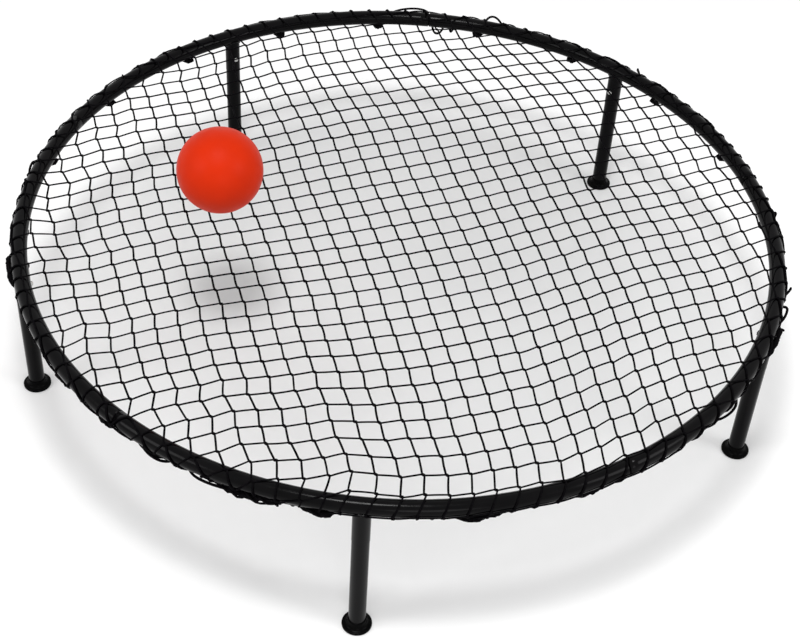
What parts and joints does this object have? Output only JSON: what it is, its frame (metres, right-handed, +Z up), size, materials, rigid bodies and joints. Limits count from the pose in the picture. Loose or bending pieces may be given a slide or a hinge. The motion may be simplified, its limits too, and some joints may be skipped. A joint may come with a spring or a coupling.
{
  "type": "roundnet set",
  "caption": "Round net on a tubular steel ring with plug-in legs, hooked on from below, with its rubber ball lying on it.",
  "frame": {"origin": "on the floor, under the middle of the ring", "axes": "+Z up, -Y towards the front leg, +X to the right seen from the front"},
  "size_m": [0.923, 0.9255, 0.3059],
  "materials": {
    "coat": "satin black powder coat",
    "steel": "plain",
    "foot": "semi-gloss moulded",
    "twine": "matte knotted nylon",
    "ball": "matte",
    "valve": "matte"
  },
  "bodies": {
    "frame": {"rim_tube_1": "coat", "rim_tube_2": "coat", "rim_tube_3": "coat", "rim_tube_4": "coat", "rim_tube_5": "coat", "leg_socket_1": "coat", "leg_socket_2": "coat", "leg_socket_3": "coat", "leg_socket_4": "coat", "leg_socket_5": "coat", "leg_tube_1": "coat", "leg_tube_2": "coat", "leg_tube_3": "coat", "leg_tube_4": "coat", "leg_tube_5": "coat", "button_spring_1": "steel", "button_spring_2": "steel", "button_spring_3": "steel", "button_spring_4": "steel", "button_spring_5": "steel", "foot_1": "foot", "foot_2": "foot", "foot_3": "foot", "foot_4": "foot", "foot_5": "foot", "net_hook_1": "coat", "net_hook_2": "coat", "net_hook_3": "coat", "net_hook_4": "coat", "net_hook_5": "coat", "net_hook_6": "coat", "net_hook_7": "coat", "net_hook_8": "coat", "net_hook_9": "coat", "net_hook_10": "coat", "net_hook_11": "coat", "net_hook_12": "coat", "net_hook_13": "coat", "net_hook_14": "coat", "net_hook_15": "coat", "net_hook_16": "coat", "net_hook_17": "coat", "net_hook_18": "coat", "net_hook_19": "coat", "net_hook_20": "coat", "net": "twine", "border_cord": "twine"},
    "button_1": {"leg_button_1": "steel"},
    "button_2": {"leg_button_2": "steel"},
    "button_3": {"leg_button_3": "steel"},
    "button_4": {"leg_button_4": "steel"},
    "button_5": {"leg_button_5": "steel"},
    "ball": {"ball": "ball", "ball_valve": "valve"}
  },
  "joints": [
    {"name": "button_1_press", "type": "slide", "parent": "frame", "child": "button_1", "axis": [0, -1, 0], "range_m": [0, 0.0038], "stiffness_N_per_m": 1200, "springref_m": -0.003, "deforming": ["button_spring_1"]},
    {"name": "button_2_press", "type": "slide", "parent": "frame", "child": "button_2", "axis": [0.9511, -0.309, 0], "range_m": [0, 0.0038], "stiffness_N_per_m": 1200, "springref_m": -0.003, "deforming": ["button_spring_2"]},
    {"name": "button_3_press", "type": "slide", "parent": "frame", "child": "button_3", "axis": [0.5878, 0.809, 0], "range_m": [0, 0.0038], "stiffness_N_per_m": 1200, "springref_m": -0.003, "deforming": ["button_spring_3"]},
    {"name": "button_4_press", "type": "slide", "parent": "frame", "child": "button_4", "axis": [-0.5878, 0.809, 0], "range_m": [0, 0.0038], "stiffness_N_per_m": 1200, "springref_m": -0.003, "deforming": ["button_spring_4"]},
    {"name": "button_5_press", "type": "slide", "parent": "frame", "child": "button_5", "axis": [-0.9511, -0.309, 0], "range_m": [0, 0.0038], "stiffness_N_per_m": 1200, "springref_m": -0.003, "deforming": ["button_spring_5"]},
    {"name": "ball_lift", "type": "slide", "parent": "frame", "child": "ball", "axis": [0, 0, 1], "range_m": [0, 0.15]}
  ]
}
